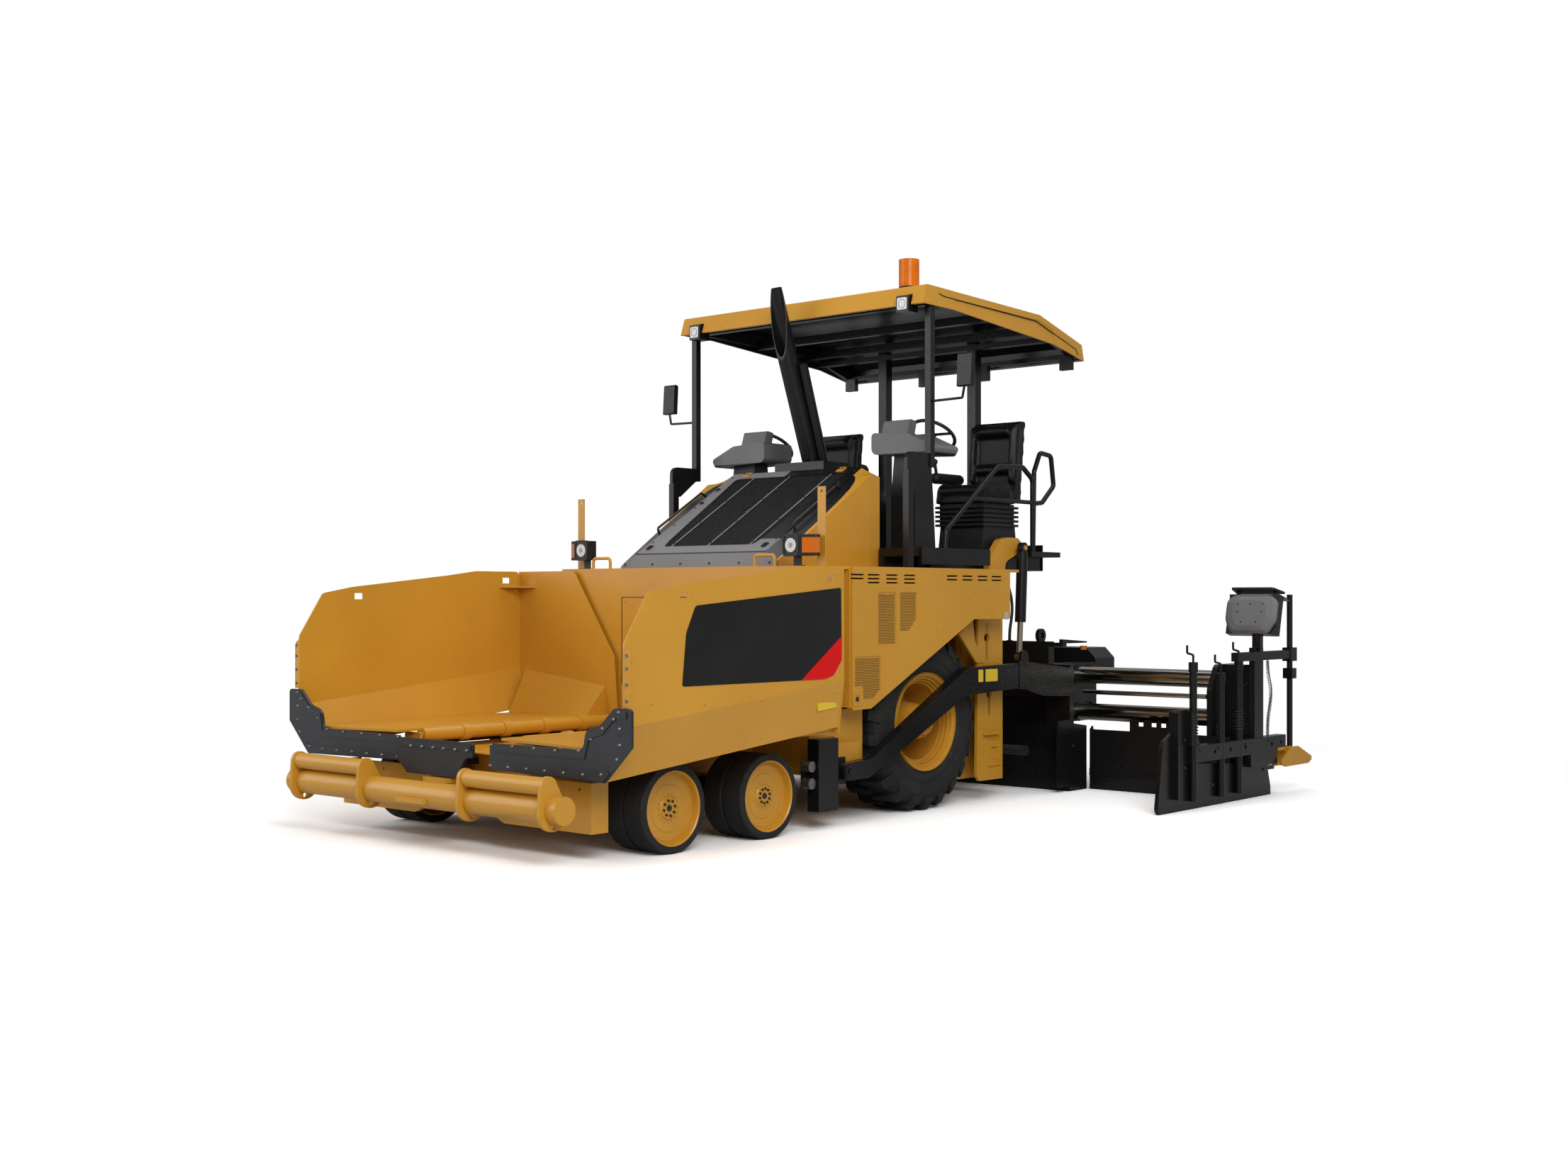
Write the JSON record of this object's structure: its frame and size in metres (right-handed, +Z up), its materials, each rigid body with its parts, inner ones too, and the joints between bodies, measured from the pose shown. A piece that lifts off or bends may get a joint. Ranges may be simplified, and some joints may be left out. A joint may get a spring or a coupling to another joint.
{
  "type": "asphalt paver",
  "caption": "Wheeled asphalt paver with a folding hopper, a canopy over the operator's station and an extendable screed.",
  "frame": {"origin": "on the ground under the middle of the machine's box", "axes": "-Y is the front with the push rollers, +X the machine's left side, +Z up"},
  "size_m": [5.428, 6.7468, 3.9472],
  "materials": {
    "paint_gold": "ochre gold gloss paint",
    "paint_black": "satin black paint",
    "paint_grey": "mid grey paint",
    "tyre": "dusty black rubber",
    "roller_steel": "worn steel",
    "tube_steel": "polished guide tube",
    "dark_steel": "oiled dark steel",
    "seat_vinyl": "black vinyl",
    "console_plastic": "light grey moulding",
    "amber": "amber lens",
    "black_rubber": "black rubber"
  },
  "bodies": {
    "tractor": {"apron_centre": "black_rubber", "beacon": "amber", "bogie_beams": "dark_steel", "canopy_frame": "paint_black", "canopy_roof": "paint_gold", "consoles": "console_plastic", "conveyors": "roller_steel", "deck": "paint_gold", "engine_block": "dark_steel", "engine_cowl": "paint_gold", "exhaust_stack": "paint_black", "front_bumper": "paint_gold", "front_lamps": "paint_black", "handrails": "paint_black", "main_frame": "paint_gold", "platform": "paint_black", "rear_columns": "paint_gold", "screed_hose_left": "black_rubber", "screed_hose_right": "black_rubber", "seat_backs": "seat_vinyl", "seat_cushions": "seat_vinyl", "seat_pedestals": "black_rubber", "side_strips": "paint_gold", "tow_guides": "paint_black"},
    "screed": {"screed_main": "paint_black", "tow_arms": "paint_black"},
    "push_beam": {"push_beam": "paint_gold"},
    "hood_lid": {"hood_lid": "paint_grey"},
    "rear_wheel_left": {"rear_tyre_left": "tyre", "rear_rim_left": "paint_gold"},
    "knuckle_front_left": {"steering_knuckle_front_left": "dark_steel"},
    "bogie_wheel_front_left": {"bogie_wheel_front_left": "tyre"},
    "knuckle_rear_left": {"steering_knuckle_rear_left": "dark_steel"},
    "bogie_wheel_rear_left": {"bogie_wheel_rear_left": "tyre"},
    "hopper_wing_left": {"hopper_wing_left": "paint_gold", "hopper_apron_left": "paint_black"},
    "service_door_left": {"service_door_left": "paint_gold"},
    "push_roller_left": {"push_roller_left": "paint_gold"},
    "auger_left": {"auger_left": "dark_steel"},
    "lift_barrel_left": {"lift_barrel_left": "paint_black"},
    "lift_rod_left": {"lift_rod_left": "tube_steel"},
    "extension_left": {"extension_left": "paint_black"},
    "end_gate_left": {"end_gate_left": "paint_black", "sensor_cord_left": "black_rubber"},
    "rear_wheel_right": {"rear_tyre_right": "tyre", "rear_rim_right": "paint_gold"},
    "knuckle_front_right": {"steering_knuckle_front_right": "dark_steel"},
    "bogie_wheel_front_right": {"bogie_wheel_front_right": "tyre"},
    "knuckle_rear_right": {"steering_knuckle_rear_right": "dark_steel"},
    "bogie_wheel_rear_right": {"bogie_wheel_rear_right": "tyre"},
    "hopper_wing_right": {"hopper_wing_right": "paint_gold", "hopper_apron_right": "paint_black"},
    "service_door_right": {"service_door_right": "paint_gold"},
    "push_roller_right": {"push_roller_right": "paint_gold"},
    "auger_right": {"auger_right": "dark_steel"},
    "lift_barrel_right": {"lift_barrel_right": "paint_black"},
    "lift_rod_right": {"lift_rod_right": "tube_steel"},
    "extension_right": {"extension_right": "paint_black"},
    "end_gate_right": {"end_gate_right": "paint_black", "sensor_cord_right": "black_rubber"}
  },
  "joints": [
    {"name": "screed_lift", "type": "hinge", "parent": "tractor", "child": "screed", "pos_m": [0, -0.7385, 0.356], "axis": [1, 0, 0], "range_deg": [0, 5], "deforming": ["screed_hose_left", "screed_hose_right"]},
    {"name": "push_beam_swing", "type": "hinge", "parent": "tractor", "child": "push_beam", "pos_m": [0, -3.0785, 0.332], "axis": [0, 0, 1], "range_deg": [-4, 4]},
    {"name": "hood_lid_open", "type": "hinge", "parent": "tractor", "child": "hood_lid", "pos_m": [0, 0.1915, 2.456], "axis": [-1, 0, 0], "range_deg": [0, 50]},
    {"name": "rear_wheel_spin_left", "type": "hinge", "parent": "tractor", "child": "rear_wheel_left", "pos_m": [0.945, 0.2665, 0.628], "axis": [1, 0, 0], "continuous": true},
    {"name": "steer_front_left", "type": "hinge", "parent": "tractor", "child": "knuckle_front_left", "pos_m": [0.87, -2.3965, 0.267], "axis": [0, 0, 1], "range_deg": [-20, 20]},
    {"name": "bogie_wheel_spin_front_left", "type": "hinge", "parent": "knuckle_front_left", "child": "bogie_wheel_front_left", "pos_m": [1.115, -2.3965, 0.267], "axis": [1, 0, 0], "continuous": true},
    {"name": "steer_rear_left", "type": "hinge", "parent": "tractor", "child": "knuckle_rear_left", "pos_m": [0.87, -1.5525, 0.267], "axis": [0, 0, 1], "range_deg": [-13.6, 13.6]},
    {"name": "bogie_wheel_spin_rear_left", "type": "hinge", "parent": "knuckle_rear_left", "child": "bogie_wheel_rear_left", "pos_m": [1.115, -1.5525, 0.267], "axis": [1, 0, 0], "continuous": true},
    {"name": "hopper_wing_fold_left", "type": "hinge", "parent": "tractor", "child": "hopper_wing_left", "pos_m": [0.5, -2.1335, 0.64], "axis": [0, -1, 0], "range_deg": [0, 45]},
    {"name": "service_door_open_left", "type": "hinge", "parent": "tractor", "child": "service_door_left", "pos_m": [1.275, 0.2665, 1.5682], "axis": [0, -1, 0], "range_deg": [0, 80]},
    {"name": "push_roller_spin_left", "type": "hinge", "parent": "push_beam", "child": "push_roller_left", "pos_m": [0.84, -3.3055, 0.464], "axis": [1, 0, 0], "continuous": true},
    {"name": "auger_spin_left", "type": "hinge", "parent": "tractor", "child": "auger_left", "pos_m": [0.6, 1.6385, 0.33], "axis": [1, 0, 0], "continuous": true},
    {"name": "lift_barrel_swing_left", "type": "hinge", "parent": "tractor", "child": "lift_barrel_left", "pos_m": [1.147, 1.5015, 1.885], "axis": [1, 0, 0], "range_deg": [-8, 1]},
    {"name": "lift_rod_slide_left", "type": "slide", "parent": "lift_barrel_left", "child": "lift_rod_left", "axis": [0, 0.0545, 0.9985], "range_m": [0, 0.19]},
    {"name": "extension_slide_left", "type": "slide", "parent": "screed", "child": "extension_left", "axis": [-1, 0, 0], "range_m": [0, 1.22]},
    {"name": "end_gate_slide_left", "type": "slide", "parent": "extension_left", "child": "end_gate_left", "axis": [0, 0, 1], "range_m": [0, 0.08]},
    {"name": "rear_wheel_spin_right", "type": "hinge", "parent": "tractor", "child": "rear_wheel_right", "pos_m": [-0.945, 0.2665, 0.628], "axis": [1, 0, 0], "continuous": true},
    {"name": "steer_front_right", "type": "hinge", "parent": "tractor", "child": "knuckle_front_right", "pos_m": [-0.87, -2.3965, 0.267], "axis": [0, 0, 1], "range_deg": [-20, 20]},
    {"name": "bogie_wheel_spin_front_right", "type": "hinge", "parent": "knuckle_front_right", "child": "bogie_wheel_front_right", "pos_m": [-1.115, -2.3965, 0.267], "axis": [1, 0, 0], "continuous": true},
    {"name": "steer_rear_right", "type": "hinge", "parent": "tractor", "child": "knuckle_rear_right", "pos_m": [-0.87, -1.5525, 0.267], "axis": [0, 0, 1], "range_deg": [-13.6, 13.6]},
    {"name": "bogie_wheel_spin_rear_right", "type": "hinge", "parent": "knuckle_rear_right", "child": "bogie_wheel_rear_right", "pos_m": [-1.115, -1.5525, 0.267], "axis": [1, 0, 0], "continuous": true},
    {"name": "hopper_wing_fold_right", "type": "hinge", "parent": "tractor", "child": "hopper_wing_right", "pos_m": [-0.5, -2.1335, 0.64], "axis": [0, 1, 0], "range_deg": [0, 45]},
    {"name": "service_door_open_right", "type": "hinge", "parent": "tractor", "child": "service_door_right", "pos_m": [-1.275, 0.2665, 1.5682], "axis": [0, 1, 0], "range_deg": [0, 80]},
    {"name": "push_roller_spin_right", "type": "hinge", "parent": "push_beam", "child": "push_roller_right", "pos_m": [-0.84, -3.3055, 0.464], "axis": [1, 0, 0], "continuous": true},
    {"name": "auger_spin_right", "type": "hinge", "parent": "tractor", "child": "auger_right", "pos_m": [-0.6, 1.6385, 0.33], "axis": [1, 0, 0], "continuous": true},
    {"name": "lift_barrel_swing_right", "type": "hinge", "parent": "tractor", "child": "lift_barrel_right", "pos_m": [-1.147, 1.5015, 1.885], "axis": [1, 0, 0], "range_deg": [-8, 1]},
    {"name": "lift_rod_slide_right", "type": "slide", "parent": "lift_barrel_right", "child": "lift_rod_right", "axis": [0, 0.0545, 0.9985], "range_m": [0, 0.19]},
    {"name": "extension_slide_right", "type": "slide", "parent": "screed", "child": "extension_right", "axis": [1, 0, 0], "range_m": [0, 1.22]},
    {"name": "end_gate_slide_right", "type": "slide", "parent": "extension_right", "child": "end_gate_right", "axis": [0, 0, 1], "range_m": [0, 0.08]}
  ],
  "couplings": [
    {"joint": "steer_rear_left", "follows": "steer_front_left", "ratio": 0.68},
    {"joint": "lift_barrel_swing_left", "follows": "screed_lift", "ratio": -1.4192},
    {"joint": "lift_rod_slide_left", "follows": "screed_lift", "m_per_rad": 2.058},
    {"joint": "steer_front_right", "follows": "steer_front_left", "ratio": 1},
    {"joint": "steer_rear_right", "follows": "steer_front_left", "ratio": 0.68},
    {"joint": "lift_barrel_swing_right", "follows": "screed_lift", "ratio": -1.4192},
    {"joint": "lift_rod_slide_right", "follows": "screed_lift", "m_per_rad": 2.058}
  ]
}
